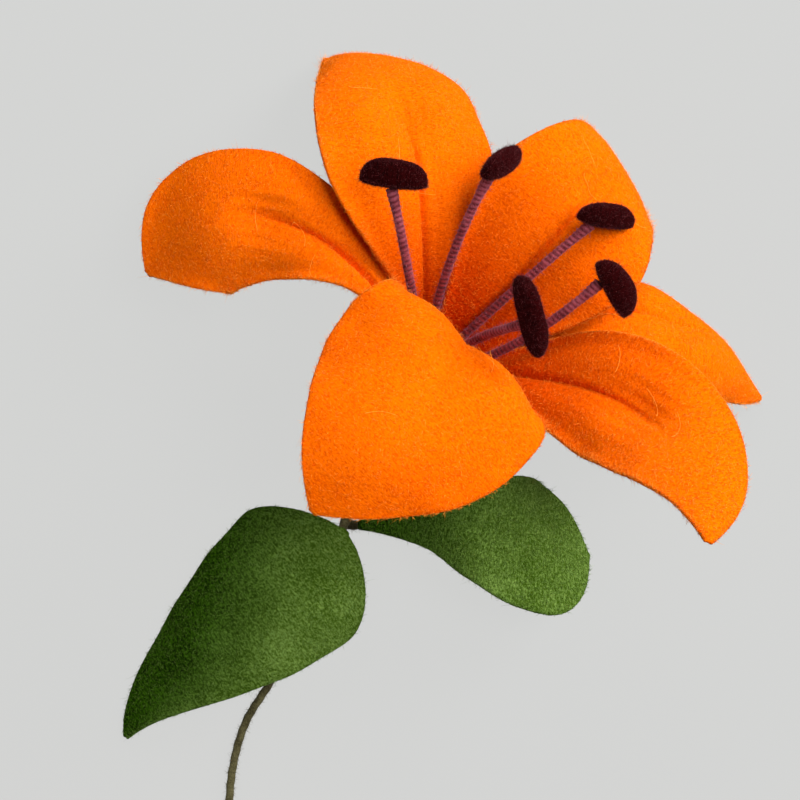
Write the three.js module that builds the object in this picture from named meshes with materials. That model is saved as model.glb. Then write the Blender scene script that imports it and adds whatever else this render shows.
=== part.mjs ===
// A tiger lily sewn from wool felt on a wrapped wire stem, lying on a flat surface.
// Millimetres, +Z up. The surface is z = 0 and the origin is the middle of the flower's footprint.
// +Y runs from the cut end of the stem towards the bloom.
//
// The bloom is a regular lily: six petals round one axis, three inner ones over three outer ones.
// The petals differ a little in length and in outline, and in how each leans back, turns and rolls.
// Places below are measured from the spot under the bloom's throat. FOOTPRINT then puts them in the frame.

import * as THREE from "three";
import { mergeVertices } from "three/addons/utils/BufferGeometryUtils.js";

const DEG = Math.PI / 180;
const UP = new THREE.Vector3(0, 0, 1);

// ---------------------------------------------------------------- driving dimensions

const GAP = 0.35; // clearance between pieces that touch on the real flower
const PETAL_FELT = 1.1; // thickness
const LEAF_FELT = 1.0;

// Where the throat stands in the frame, and its height over the surface.
const FOOTPRINT = { x: -4.18, y: 65.38 };
const THROAT_HEIGHT = 18.5;

// The bloom's axis leans this far from upright, towards this heading (0 is +X, 90 is +Y).
const BLOOM = { tilt: 45, heading: 50 };

const PETAL = {
  length: 92,
  rootHalfWidth: 3.6,
  tipHalfWidth: 0.7,
  innerRootRadius: 4.4,
  outerRootRadius: 6.2,
  plumpness: 1.6, // how far each half swells between the tuck and the edge
  plumpFrom: [0.1, 0.3], // shares of the length over which the swelling rises
  plumpTo: [0.5, 0.75], // and over which it dies away
  plumpOver: 0.83, // share of each half that it covers, from the midline out
};

// A pin tuck is sewn down the middle of each petal: a groove inside, a ridge behind, and a dimple at its end.
const TUCK = {
  grooveHalfWidth: 0.9,
  grooveDepth: 0.8,
  ridgeHalfWidth: 1.3,
  ridgeHeight: 1.6,
  startsAt: 0.05, // share of the petal's length, as are the next two
  fades: 0.1,
  dimpleBeyond: 0.04,
  dimpleDepth: 2.2,
  dimpleHalfLength: 7,
  dimpleHalfWidth: 6,
};

// How each petal is cut: widestAt and tuckEndsAt are shares of its length, taper is how slowly it widens from
// its claw, and tipPower is how late it narrows to the tip.
// How it is bent, in degrees, at equally spaced stations from root to tip. Lean is the angle from the bloom's
// axis and has seven stations. The others have five: swing turns the petal sideways, roll turns it about its
// own midline, and edge is the angle that the felt has turned through at its side edges, positive where they
// curl inwards.
const PETALS = [
  {
    name: "petal_inner_left",
    azimuth: 118,
    inner: true,
    length: 87,
    halfWidth: 16.9,
    widestAt: 0.77,
    taper: 3,
    tipPower: 1.7,
    tuckEndsAt: 0.56,
    lean: [18, 66, 76, 100, 127, 163, 169],
    swing: [0, -27, -15, -2, 15],
    roll: [0, 14, 39, 32, 42],
    edge: [50, 53, -13, -31, 26],
  },
  {
    name: "petal_outer_top",
    azimuth: 58,
    inner: false,
    halfWidth: 21.9,
    widestAt: 0.5,
    taper: 2.4,
    tipPower: 2,
    tuckEndsAt: 0.56,
    lean: [24, 43, 48, 65, 95, 125, 150],
    swing: [0, 5, -1, -4, -7],
    roll: [0, 6, 6, 10, 8],
    edge: [36, 27, -16, -20, -28],
  },
  {
    name: "petal_inner_upper_right",
    azimuth: -9,
    inner: true,
    halfWidth: 20.7,
    widestAt: 0.49,
    taper: 1.5,
    tipPower: 1.2,
    tuckEndsAt: 0.56,
    lean: [14, 27, 32, 41, 92, 157, 219],
    swing: [0, 1, 5, -3, -12],
    roll: [0, -1, -8, -13, -15],
    edge: [48, 33, 10, -7, -16],
  },
  {
    name: "petal_outer_right",
    azimuth: -52,
    inner: false,
    length: 94,
    halfWidth: 20.5,
    widestAt: 0.53,
    taper: 1.4,
    tipPower: 1.7,
    tuckEndsAt: 0.56,
    lean: [22, 40, 45, 62, 102, 125, 124],
    swing: [0, 7, -11, -5, -4],
    roll: [0, 2, 11, 10, 9],
    edge: [36, 26, -53, -77, -50],
  },
  {
    name: "petal_inner_lower_right",
    azimuth: -104,
    inner: true,
    length: 93,
    halfWidth: 14.2,
    widestAt: 0.57,
    taper: 2.5,
    tipPower: 2.6,
    tuckEndsAt: 0.56,
    lean: [14, 39, 43, 52, 62, 84, 109],
    swing: [0, 3, -6, -21, -52],
    roll: [0, -32, -46, -23, -18],
    edge: [50, 29, 11, -12, -20],
  },
  {
    name: "petal_outer_front",
    azimuth: 179,
    inner: false,
    length: 87,
    halfWidth: 25,
    widestAt: 0.54,
    taper: 1.8,
    tipPower: 2.2,
    tuckEndsAt: 0.24,
    lean: [36, 21, 16, 107, 114, 144, 156],
    swing: [0, 7, 2, -4, -2],
    roll: [0, 6, -4, -2, 4],
    edge: [36, 11, -22, -34, 9],
  },
];

// The wool cup that binds the petal roots, and the hard core in it. Heights run along the bloom's axis.
const CUP = {
  rim: -0.75,
  foot: -14,
  rimRadius: 7.7,
  waistRadius: 4.6,
  footRadius: 1.4,
  softEdge: 1,
  belly: 0.5,
};
const CORE = { top: 1, bottom: -7, radius: 3.4, softEdge: 0.6 };

// A stamen is a wool-wrapped wire with a felt pad across its end. ring is where it stands round the core.
// Azimuth and lean aim its filament from there. bow is how far the middle is pushed off the straight line.
// The pad's long axis is along, its filament joins it joinedAt from its middle, and the rest are its sizes.
const FILAMENT = {
  length: 48,
  wrapRadius: 1.0,
  boreRadius: 0.65,
  wireRadius: 0.33,
  ringRadius: 2.05,
  rootHeight: 2,
};
const STAMENS = [
  {
    name: "left",
    ring: 140,
    azimuth: 98,
    lean: 38,
    bow: [0.4, -0.4, 4.6],
    anther: { along: [0.99, -0.13, 0.09], joinedAt: -0.1, length: 14.7, width: 6.3, height: 6.2 },
  },
  {
    name: "top",
    ring: 68,
    azimuth: 59,
    lean: 21,
    bow: [-2.1, 0, 0.5],
    anther: { along: [0.56, 0.42, -0.72], joinedAt: -4, length: 14.2, width: 5, height: 5.2 },
  },
  {
    name: "upper_right",
    ring: -4,
    azimuth: 342,
    lean: 27,
    bow: [-0.4, 0.1, 2.5],
    anther: { along: [0.9, -0.05, -0.5], joinedAt: -3.4, length: 14.8, width: 5.5, height: 5.1 },
  },
  {
    name: "right",
    ring: -76,
    azimuth: 288,
    lean: 18,
    bow: [-0.6, -3.5, 2.4],
    anther: { along: [0.47, -0.74, -0.49], joinedAt: -2.7, length: 14.4, width: 7, height: 6.1 },
  },
  {
    name: "front",
    ring: -148,
    azimuth: 206,
    lean: 23,
    bow: [-1.3, 1.6, 0.4],
    anther: { along: [0.24, -0.97, -0.02], joinedAt: 1.4, length: 17.1, width: 5.1, height: 5.5 },
  },
];

// The stem is a steel wire in a tight wool wrap. Its route runs down from the cup, bends onto the surface and
// ends in a square cut.
const STEM = { wrapRadius: 1.0, boreRadius: 0.7, wireRadius: 0.4, steps: 42 };
const STEM_ROUTE = [
  [-10.0, -12.2, 4.2],
  [-13.3, -19.3, 1.6],
  [-16.6, -27.9, 1.1],
  [-19.3, -36.4, 1.0],
  [-25.0, -48.8, 1.0],
  [-30.8, -61.2, 1.0],
  [-36.7, -73.2, 1.0],
  [-43.0, -83.6, 1.0],
  [-46.2, -95.4, 1.0],
  [-46.9, -108.4, 1.0],
  [-46.1, -122, 1.0],
  [-44.5, -136, 1.0],
  [-42.8, -150, 1.0],
  [-41.5, -164, 1.0],
  [-40.6, -178, 1.0],
  [-40.0, -192, 1.0],
  [-39.8, -206, 1.0],
];

const PETIOLE_RADIUS = 0.8;

// A leaf leaves its start towards its heading. Its stations are those of a petal, with the lean from upright.
const LEAVES = [
  {
    name: "left",
    start: [-19.1, -37.6, 6.3],
    heading: 225,
    length: 74,
    rootHalfWidth: 0.8,
    halfWidth: 19.8,
    tipHalfWidth: 0.5,
    widestAt: 0.2,
    taper: 0.7,
    tipPower: 1.6,
    lean: [79, 71, 92, 100, 104, 107, 98],
    swing: [0, -7, -7, 0, 19],
    roll: [0, -4, -14, -26, -21],
    edge: [-20, -31, -24, -15, 10],
    petiole: [
      [-18.7, -34.9, 3.3],
      [-21.5, -39.3, 4.9],
      [-28.5, -46.1, 7.1],
    ],
  },
  {
    name: "right",
    start: [-15.6, -35.9, 6.9],
    heading: -4,
    length: 61,
    rootHalfWidth: 0.8,
    halfWidth: 15.9,
    tipHalfWidth: 0.5,
    widestAt: 0.75,
    taper: 1.85,
    tipPower: 2.3,
    lean: [74, 69, 71, 96, 109, 130, 133],
    swing: [0, 9, -12, -9, -7],
    roll: [0, 3, 13, 23, 26],
    edge: [-10, -10, 18, -7, 13],
    petiole: [
      [-17.6, -36.3, 2.2],
      [-12.5, -36.5, 4.9],
      [-4.0, -37.5, 9.0],
    ],
  },
];

// ---------------------------------------------------------------- small helpers

// Smooth value of a list of equally spaced stations at share t, by Catmull-Rom.
function station(list, t) {
  const last = list.length - 1;
  const place = Math.min(Math.max(t, 0), 1) * last;
  const i = Math.min(Math.floor(place), last - 1);
  const f = place - i;
  const before = list[i - 1] ?? 2 * list[i] - list[i + 1];
  const after = list[i + 2] ?? 2 * list[i + 1] - list[i];
  const slopeIn = (list[i + 1] - before) / 2;
  const slopeOut = (after - list[i]) / 2;
  const rise = list[i + 1] - list[i];
  const square = 3 * rise - 2 * slopeIn - slopeOut;
  const cube = slopeIn + slopeOut - 2 * rise;
  return list[i] + f * (slopeIn + f * (square + f * cube));
}

const smoothstep = (low, high, x) => THREE.MathUtils.smoothstep(x, low, high);
const bell = (x, halfWidth) => Math.exp(-((x / halfWidth) ** 2));
const vector = ([x, y, z]) => new THREE.Vector3(x, y, z);

// a*p + b*q for vectors a and b.
const mix = (a, p, b, q) => a.clone().multiplyScalar(p).addScaledVector(b, q);

const materials = {
  petal: new THREE.MeshStandardMaterial({ color: 0xf07d0c, roughness: 0.95, metalness: 0 }),
  leaf: new THREE.MeshStandardMaterial({ color: 0x3f6b2a, roughness: 0.95, metalness: 0 }),
  anther: new THREE.MeshStandardMaterial({ color: 0x3a0710, roughness: 0.9, metalness: 0 }),
  filament: new THREE.MeshStandardMaterial({ color: 0x8a3a5c, roughness: 0.9, metalness: 0 }),
  stem: new THREE.MeshStandardMaterial({ color: 0x4c4320, roughness: 0.9, metalness: 0 }),
  wire: new THREE.MeshStandardMaterial({ color: 0x8c8c8c, roughness: 0.4, metalness: 0.9 }),
};

const part = new THREE.Group();
part.position.set(FOOTPRINT.x, FOOTPRINT.y, 0);

function addMesh(name, geometry, material) {
  const mesh = new THREE.Mesh(geometry, material);
  mesh.name = name;
  part.add(mesh);
  return mesh;
}

// ---------------------------------------------------------------- blades: petals and leaves

// A closed mesh between an upper and a lower sheet of points, each rows x columns.
function slab(upper, lower) {
  const rows = upper.length;
  const columns = upper[0].length;
  const count = rows * columns;
  const positions = [...upper.flat(), ...lower.flat()].flatMap((p) => p.toArray());
  const faces = [];
  const quad = (a, b, c, d) => faces.push(a, b, c, a, c, d);
  const at = (i, j) => i * columns + j;
  for (let i = 0; i < rows - 1; i += 1) {
    for (let j = 0; j < columns - 1; j += 1) {
      quad(at(i, j), at(i + 1, j), at(i + 1, j + 1), at(i, j + 1));
      quad(count + at(i, j), count + at(i, j + 1), count + at(i + 1, j + 1), count + at(i + 1, j));
    }
  }
  const rim = [];
  for (let j = 0; j < columns - 1; j += 1) rim.push(at(0, j));
  for (let i = 0; i < rows - 1; i += 1) rim.push(at(i, columns - 1));
  for (let j = columns - 1; j > 0; j -= 1) rim.push(at(rows - 1, j));
  for (let i = rows - 1; i > 0; i -= 1) rim.push(at(i, 0));
  rim.forEach((a, k) => {
    const b = rim[(k + 1) % rim.length];
    quad(a, b, count + b, count + a);
  });
  const geometry = new THREE.BufferGeometry();
  geometry.setAttribute("position", new THREE.Float32BufferAttribute(positions, 3));
  geometry.setIndex(faces);
  geometry.computeVertexNormals();
  return geometry;
}

// The frames along a bent blade. axis and outward are unit vectors: a lean of 0 runs along axis, and one of
// 90 along outward.
function bladeFrames(blade, rows) {
  const across = blade.axis.clone().cross(blade.outward);
  const frameAt = (t) => {
    const lean = station(blade.lean, t) * DEG;
    const swing = station(blade.swing, t) * DEG;
    const roll = station(blade.roll, t) * DEG;
    const along = mix(blade.axis, Math.cos(lean), blade.outward, Math.sin(lean));
    const facing = mix(blade.axis, Math.sin(lean), blade.outward, -Math.cos(lean));
    const sideways = mix(across, Math.cos(swing), along, -Math.sin(swing));
    return {
      t,
      tangent: mix(along, Math.cos(swing), across, Math.sin(swing)),
      normal: mix(facing, Math.cos(roll), sideways, Math.sin(roll)),
      side: mix(sideways, Math.cos(roll), facing, -Math.sin(roll)),
    };
  };
  const stepsPerRow = 6;
  const steps = (rows - 1) * stepsPerRow;
  const position = blade.start.clone();
  const frames = [];
  for (let k = 0; k <= steps; k += 1) {
    if (k % stepsPerRow === 0) frames.push({ ...frameAt(k / steps), position: position.clone() });
    position.addScaledVector(frameAt((k + 0.5) / steps).tangent, blade.length / steps);
  }
  return frames;
}

// Half width at share t of the length: a sine from the root to the widest place, then a power curve to the
// tip.
function bladeHalfWidth(t, cut) {
  const { rootHalfWidth, halfWidth, tipHalfWidth, widestAt } = cut;
  if (t < widestAt) {
    const swell = Math.sin((Math.PI / 2) * (t / widestAt)) ** cut.taper;
    return rootHalfWidth + (halfWidth - rootHalfWidth) * swell;
  }
  const toTip = ((t - widestAt) / (1 - widestAt)) ** cut.tipPower;
  return tipHalfWidth + (halfWidth - tipHalfWidth) * (1 - toTip);
}

// A blade of felt as a closed solid. relief(t, x, w) gives how far the felt swells at x mm from the midline,
// and how far its inner face and its back stand out from that.
function bladeGeometry(blade, rows, columnsOf, relief) {
  const flat = 1e-6;
  const upper = [];
  const lower = [];
  for (const frame of bladeFrames(blade, rows)) {
    const halfWidth = bladeHalfWidth(frame.t, blade);
    const edge = station(blade.edge, frame.t) * DEG || flat;
    const upperRow = [];
    const lowerRow = [];
    for (const x of columnsOf(halfWidth)) {
      const turn = (edge * x) / halfWidth;
      const { inside, behind, swell } = relief(frame.t, x, halfWidth);
      const outOfFelt = mix(frame.normal, Math.cos(turn), frame.side, -Math.sin(turn));
      const middle = frame.position
        .clone()
        .addScaledVector(frame.side, (halfWidth * Math.sin(turn)) / edge)
        .addScaledVector(frame.normal, (halfWidth * (1 - Math.cos(turn))) / edge)
        .addScaledVector(outOfFelt, swell);
      upperRow.push(middle.clone().addScaledVector(outOfFelt, blade.thickness / 2 + inside));
      lowerRow.push(middle.clone().addScaledVector(outOfFelt, -blade.thickness / 2 - behind));
    }
    upper.push(upperRow);
    lower.push(lowerRow);
  }
  return slab(upper, lower);
}

const BLADE_ROWS = 17;

// ---------------------------------------------------------------- tubes

// A tube of felted yarn or a wire along a curve. A bore radius of 0 makes it solid.
function tubeGeometry(curve, radius, boreRadius, sides, steps) {
  const section = new THREE.Shape().absarc(0, 0, radius, 0, 2 * Math.PI);
  if (boreRadius > 0) section.holes.push(new THREE.Path().absarc(0, 0, boreRadius, 0, 2 * Math.PI, true));
  const geometry = new THREE.ExtrudeGeometry(section, { steps, curveSegments: sides, extrudePath: curve });
  geometry.deleteAttribute("normal");
  geometry.deleteAttribute("uv");
  const merged = mergeVertices(geometry, 1e-4);
  merged.computeVertexNormals();
  return merged;
}

const smoothCurve = (points) => new THREE.CatmullRomCurve3(points, false, "catmullrom", 0.5);

// ---------------------------------------------------------------- the bloom

const tilt = BLOOM.tilt * DEG;
const heading = BLOOM.heading * DEG;
const headingFlat = new THREE.Vector3(Math.cos(heading), Math.sin(heading), 0);
const throat = new THREE.Vector3(0, 0, THROAT_HEIGHT);
const bloomAxis = mix(headingFlat, Math.sin(tilt), UP, Math.cos(tilt));
const bloomFar = mix(headingFlat, Math.cos(tilt), UP, -Math.sin(tilt));
const bloomLeft = bloomAxis.clone().cross(bloomFar);

// Unit vector out from the bloom's axis at an azimuth in degrees.
const outwardAt = (azimuth) => mix(bloomFar, Math.cos(azimuth * DEG), bloomLeft, Math.sin(azimuth * DEG));

function petalRelief({ tuckEndsAt, length }) {
  return (t, x, halfWidth) => {
    const opens = smoothstep(TUCK.startsAt, TUCK.startsAt + TUCK.fades, t);
    const sewn = opens * (1 - smoothstep(tuckEndsAt - TUCK.fades, tuckEndsAt + TUCK.fades, t));
    const swelling = smoothstep(...PETAL.plumpFrom, t) * (1 - smoothstep(...PETAL.plumpTo, t));
    const acrossHalf = Math.sin(Math.PI * Math.min(1, Math.abs(x) / (PETAL.plumpOver * halfWidth)));
    const fromDimple = (t - tuckEndsAt - TUCK.dimpleBeyond) * length;
    const dimple = TUCK.dimpleDepth * bell(fromDimple, TUCK.dimpleHalfLength) * bell(x, TUCK.dimpleHalfWidth);
    return {
      inside: -TUCK.grooveDepth * sewn * bell(x, TUCK.grooveHalfWidth),
      behind: TUCK.ridgeHeight * sewn * bell(x, TUCK.ridgeHalfWidth),
      swell: PETAL.plumpness * swelling * acrossHalf - dimple,
    };
  };
}

// Columns across a petal: even shares of each half, and three close together at the tuck.
function petalColumns(halfWidth) {
  const half = [0.2, 0.46, 0.74, 1].map((share) => share * halfWidth);
  const tuck = [-TUCK.grooveHalfWidth, 0, TUCK.grooveHalfWidth];
  return [...half.map((x) => -x).reverse(), ...tuck, ...half];
}

for (const petal of PETALS) {
  const outward = outwardAt(petal.azimuth);
  const rootRadius = petal.inner ? PETAL.innerRootRadius : PETAL.outerRootRadius;
  const start = throat.clone().addScaledVector(outward, rootRadius);
  const blade = { ...PETAL, ...petal, axis: bloomAxis, outward, start, thickness: PETAL_FELT };
  const geometry = bladeGeometry(blade, BLADE_ROWS, petalColumns, petalRelief(blade));
  addMesh(petal.name, geometry, materials.petal);
}

// A turned piece on the bloom's axis: its profile is [radius, height over the throat].
function addTurned(name, profile, segments, material) {
  const points = profile.map(([radius, height]) => new THREE.Vector2(radius, height));
  const mesh = addMesh(name, new THREE.LatheGeometry(points, segments), material);
  mesh.quaternion.setFromUnitVectors(new THREE.Vector3(0, 1, 0), bloomAxis);
  mesh.position.copy(throat);
}

const socketRadius = CORE.radius + GAP;
const socketFloor = CORE.bottom - GAP;
const cupProfile = [
  [STEM.boreRadius, CUP.foot],
  [CUP.footRadius, CUP.foot],
  [(CUP.footRadius + CUP.waistRadius) / 2, (CUP.foot + socketFloor) / 2],
  [CUP.waistRadius, socketFloor],
  [(CUP.waistRadius + CUP.rimRadius) / 2 + CUP.belly, (socketFloor + CUP.rim) / 2],
  [CUP.rimRadius, CUP.rim - CUP.softEdge],
  [CUP.rimRadius - CUP.softEdge / 3, CUP.rim],
  [socketRadius, CUP.rim],
  [socketRadius, socketFloor],
  [STEM.boreRadius, socketFloor],
  [STEM.boreRadius, CUP.foot],
];
addTurned("bloom_cup", cupProfile, 20, materials.stem);

const coreProfile = [
  [0, CORE.bottom],
  [CORE.radius, CORE.bottom],
  [CORE.radius, CORE.top - CORE.softEdge],
  [CORE.radius - CORE.softEdge, CORE.top],
  [0, CORE.top],
];
addTurned("bloom_core", coreProfile, 16, materials.petal);

// ---------------------------------------------------------------- the stamens

// The pad: a dome over a nearly flat underside, blunt at both ends. Its frame is along, across and up the
// dome.
function antherGeometry(anther) {
  const bluntness = 0.88;
  const underside = 0.22; // share of the height that is below the widest section
  const blunt = (value) => Math.sign(value) * Math.abs(value) ** bluntness;
  const geometry = new THREE.SphereGeometry(1, 14, 9);
  geometry.rotateZ(Math.PI / 2);
  const position = geometry.getAttribute("position");
  for (let i = 0; i < position.count; i += 1) {
    const [x, y, z] = [position.getX(i), position.getY(i), position.getZ(i)];
    const height = z > 0 ? (1 - underside) * anther.height : underside * anther.height;
    position.setXYZ(i, (blunt(x) * anther.length) / 2, (blunt(y) * anther.width) / 2, blunt(z) * height);
  }
  geometry.translate(0, 0, underside * anther.height);
  geometry.computeVertexNormals();
  return geometry;
}

for (const stamen of STAMENS) {
  const lean = stamen.lean * DEG;
  const aim = mix(bloomAxis, Math.cos(lean), outwardAt(stamen.azimuth), Math.sin(lean));
  const root = throat
    .clone()
    .addScaledVector(bloomAxis, FILAMENT.rootHeight)
    .addScaledVector(outwardAt(stamen.ring), FILAMENT.ringRadius);
  const tip = root.clone().addScaledVector(aim, FILAMENT.length);
  const bend = root.clone().lerp(tip, 0.5).addScaledVector(vector(stamen.bow), 2);
  const curve = new THREE.QuadraticBezierCurve3(root, bend, tip);
  const { wrapRadius, boreRadius, wireRadius } = FILAMENT;
  addMesh(`filament_${stamen.name}`, tubeGeometry(curve, wrapRadius, boreRadius, 8, 10), materials.filament);
  addMesh(`filament_wire_${stamen.name}`, tubeGeometry(curve, wireRadius, 0, 6, 10), materials.wire);

  const along = vector(stamen.anther.along).normalize();
  const end = tip.clone().sub(bend).normalize();
  const dome = end.clone().addScaledVector(along, -end.dot(along)).normalize();
  const across = dome.clone().cross(along);
  const seat = tip.clone().addScaledVector(dome, GAP).addScaledVector(along, -stamen.anther.joinedAt);
  const anther = addMesh(`anther_${stamen.name}`, antherGeometry(stamen.anther), materials.anther);
  anther.quaternion.setFromRotationMatrix(new THREE.Matrix4().makeBasis(along, across, dome));
  anther.position.copy(seat);
}

// ---------------------------------------------------------------- stem and leaves

const cupFoot = throat.clone().addScaledVector(bloomAxis, CUP.foot - GAP);
const stemCurve = smoothCurve([cupFoot, ...STEM_ROUTE.map(vector)]);
const stemWrap = tubeGeometry(stemCurve, STEM.wrapRadius, STEM.boreRadius, 8, STEM.steps);
addMesh("stem_wrap", stemWrap, materials.stem);
addMesh("stem_wire", tubeGeometry(stemCurve, STEM.wireRadius, 0, 6, STEM.steps), materials.wire);

const noRelief = () => ({ inside: 0, behind: 0, swell: 0 });
const leafColumns = (halfWidth) => [-1, -0.7, -0.35, 0, 0.35, 0.7, 1].map((share) => share * halfWidth);

for (const leaf of LEAVES) {
  const outward = new THREE.Vector3(Math.cos(leaf.heading * DEG), Math.sin(leaf.heading * DEG), 0);
  const blade = { ...leaf, axis: UP, outward, start: vector(leaf.start), thickness: LEAF_FELT };
  addMesh(`leaf_${leaf.name}`, bladeGeometry(blade, BLADE_ROWS, leafColumns, noRelief), materials.leaf);
  const petiole = smoothCurve(leaf.petiole.map(vector));
  addMesh(`petiole_${leaf.name}`, tubeGeometry(petiole, PETIOLE_RADIUS, 0, 8, 6), materials.stem);
}

export default part;
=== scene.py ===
"""The looks of a felt tiger lily: wool felt petals and leaves, velvety anthers and yarn on wire, round the CAD frame.

Sizes are in millimetres from the spot under the bloom's throat, and go into the frame, in metres, as a mesh is made.
"""

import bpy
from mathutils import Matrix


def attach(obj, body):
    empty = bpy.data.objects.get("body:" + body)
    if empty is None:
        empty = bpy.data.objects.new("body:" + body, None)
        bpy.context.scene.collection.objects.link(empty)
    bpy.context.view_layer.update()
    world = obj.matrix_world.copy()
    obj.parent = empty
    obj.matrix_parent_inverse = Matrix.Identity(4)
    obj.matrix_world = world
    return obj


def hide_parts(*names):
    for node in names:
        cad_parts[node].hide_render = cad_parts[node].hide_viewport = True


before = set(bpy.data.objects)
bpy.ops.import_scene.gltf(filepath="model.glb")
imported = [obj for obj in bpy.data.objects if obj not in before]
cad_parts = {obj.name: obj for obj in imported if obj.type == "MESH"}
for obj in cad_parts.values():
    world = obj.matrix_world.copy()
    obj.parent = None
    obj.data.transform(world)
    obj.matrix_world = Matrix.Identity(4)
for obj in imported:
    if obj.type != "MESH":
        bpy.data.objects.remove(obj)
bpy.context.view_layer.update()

from types import SimpleNamespace as Sizes

import bmesh
import bpy
import numpy as np
from mathutils import Vector
from bpy.props import FloatProperty, FloatVectorProperty, IntProperty, PointerProperty

bl_info = {
    "name": "Felt Tiger Lily",
    "version": (1, 0, 0),
    "blender": (4, 5, 0),
    "location": "3D View > Sidebar > Lily",
    "description": "Makes a tiger lily sewn from wool felt, lying on a pale table",
    "category": "Add Mesh",
}

# --- sizes shared with the frame

MM = 0.001
# The spot under the throat as the frame has it, the throat over that spot, and the gap between joined pieces, in mm.
FOOTPRINT = np.array([-4.18, 65.38, 0.0])
THROAT = np.array([0.0, 0.0, 18.5])
GAP = 0.35

BLOOM_TILT, BLOOM_HEADING = np.radians(45), np.radians(50)
HEADING_FLAT = np.array([np.cos(BLOOM_HEADING), np.sin(BLOOM_HEADING), 0.0])
UP = np.array([0.0, 0.0, 1.0])
BLOOM_AXIS = HEADING_FLAT * np.sin(BLOOM_TILT) + UP * np.cos(BLOOM_TILT)
BLOOM_FAR = HEADING_FLAT * np.cos(BLOOM_TILT) - UP * np.sin(BLOOM_TILT)
BLOOM_LEFT = np.cross(BLOOM_AXIS, BLOOM_FAR)

# How far out the petals' roots stand, how a petal swells beside its tuck, and the tuck and the dimple it ends in.
# Heights and widths are in mm, and places along a petal are shares of its length.
ROOT_RADIUS = {"inner": 4.4, "outer": 6.2}
PLUMP = Sizes(height=1.6, rises=(0.1, 0.3), dies=(0.5, 0.75), over=0.83)
TUCK = Sizes(starts=0.05, fades=0.1, beyond=0.04, dimple=2.2, dimple_long=7, dimple_wide=6)


def petal_cut(length=92, root=3.6, tip=0.7, tuck_ends=0.56, **own):
    """A petal's cut and bends, with what most petals have in common."""
    return Sizes(length=length, root=root, tip=tip, tuck_ends=tuck_ends, **own)


# Bends in degrees at equally spaced stations from root to tip. The blades are the frame's, but for the top petal's
# taper, which is a little less, so that its claw is fuller. Each cut also says how far the painted throat shade goes.
PETALS = {
    "petal_inner_left": petal_cut(
        ring="inner", azimuth=118, length=87, half=16.9, widest=0.77, taper=3, tip_power=1.7,
        flush=0.14, lean=[18, 66, 76, 100, 127, 163, 169], swing=[0, -27, -15, -2, 15],
        roll=[0, 14, 39, 32, 42], edge=[50, 53, -13, -31, 26],
    ),
    "petal_outer_top": petal_cut(
        ring="outer", azimuth=58, half=21.9, widest=0.5, taper=2, tip_power=2,
        flush=0.42, lean=[24, 43, 48, 65, 95, 125, 150], swing=[0, 5, -1, -4, -7],
        roll=[0, 6, 6, 10, 8], edge=[36, 27, -16, -20, -28],
    ),
    "petal_inner_upper_right": petal_cut(
        ring="inner", azimuth=-9, half=20.7, widest=0.49, taper=1.5, tip_power=1.2,
        flush=0.56, lean=[14, 27, 32, 41, 92, 157, 219], swing=[0, 1, 5, -3, -12],
        roll=[0, -1, -8, -13, -15], edge=[48, 33, 10, -7, -16],
    ),
    "petal_outer_right": petal_cut(
        ring="outer", azimuth=-52, length=94, half=20.5, widest=0.53, taper=1.4, tip_power=1.7,
        flush=0.42, lean=[22, 40, 45, 62, 102, 125, 124], swing=[0, 7, -11, -5, -4],
        roll=[0, 2, 11, 10, 9], edge=[36, 26, -53, -77, -50],
    ),
    "petal_inner_lower_right": petal_cut(
        ring="inner", azimuth=-104, length=93, half=14.2, widest=0.57, taper=2.5, tip_power=2.6,
        flush=0.72, lean=[14, 39, 43, 52, 62, 84, 109], swing=[0, 3, -6, -21, -52],
        roll=[0, -32, -46, -23, -18], edge=[50, 29, 11, -12, -20],
    ),
    "petal_outer_front": petal_cut(
        ring="outer", azimuth=179, length=87, half=25, widest=0.54, taper=1.8, tip_power=2.2,
        flush=0.5, tuck_ends=0.24, lean=[36, 21, 16, 107, 114, 144, 156], swing=[0, 7, 2, -4, -2],
        roll=[0, 6, -4, -2, 4], edge=[36, 11, -22, -34, 9],
    ),
}

# pale is how far a leaf is out of its painted shade: at its root, and what is added towards its tip and right edge.
# It paints light where a leaf faces the lamps and shade where it turns away from them or lies under a petal.
LEAVES = {
    "left": Sizes(
        start=[-19.1, -37.6, 6.3], heading=225, length=74, root=0.8, half=19.8, tip=0.5,
        widest=0.2, taper=0.7, tip_power=1.6, lean=[79, 71, 92, 100, 104, 107, 98],
        swing=[0, -7, -7, 0, 19], roll=[0, -4, -14, -26, -21], edge=[-20, -31, -24, -15, 10],
        pale=(0.95, -1.2, 0.45),
        petiole=[[-18.8, -34.7, 1.3], [-19.2, -35.6, 3.3], [-21.5, -39.3, 4.9], [-28.5, -46.1, 7.1]],
    ),
    "right": Sizes(
        start=[-15.6, -35.9, 6.9], heading=-4, length=61, root=0.8, half=15.9, tip=0.5,
        widest=0.75, taper=1.85, tip_power=2.3, lean=[74, 69, 71, 96, 109, 130, 133],
        swing=[0, 9, -12, -9, -7], roll=[0, 3, 13, 23, 26], edge=[-10, -10, 18, -7, 13],
        pale=(0.0, 1.3, 0.0),
        petiole=[[-19.2, -36.2, 1.3], [-17.2, -36.3, 2.4], [-12.5, -36.5, 4.9], [-4.0, -37.5, 9.0]],
    ),
}

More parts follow.
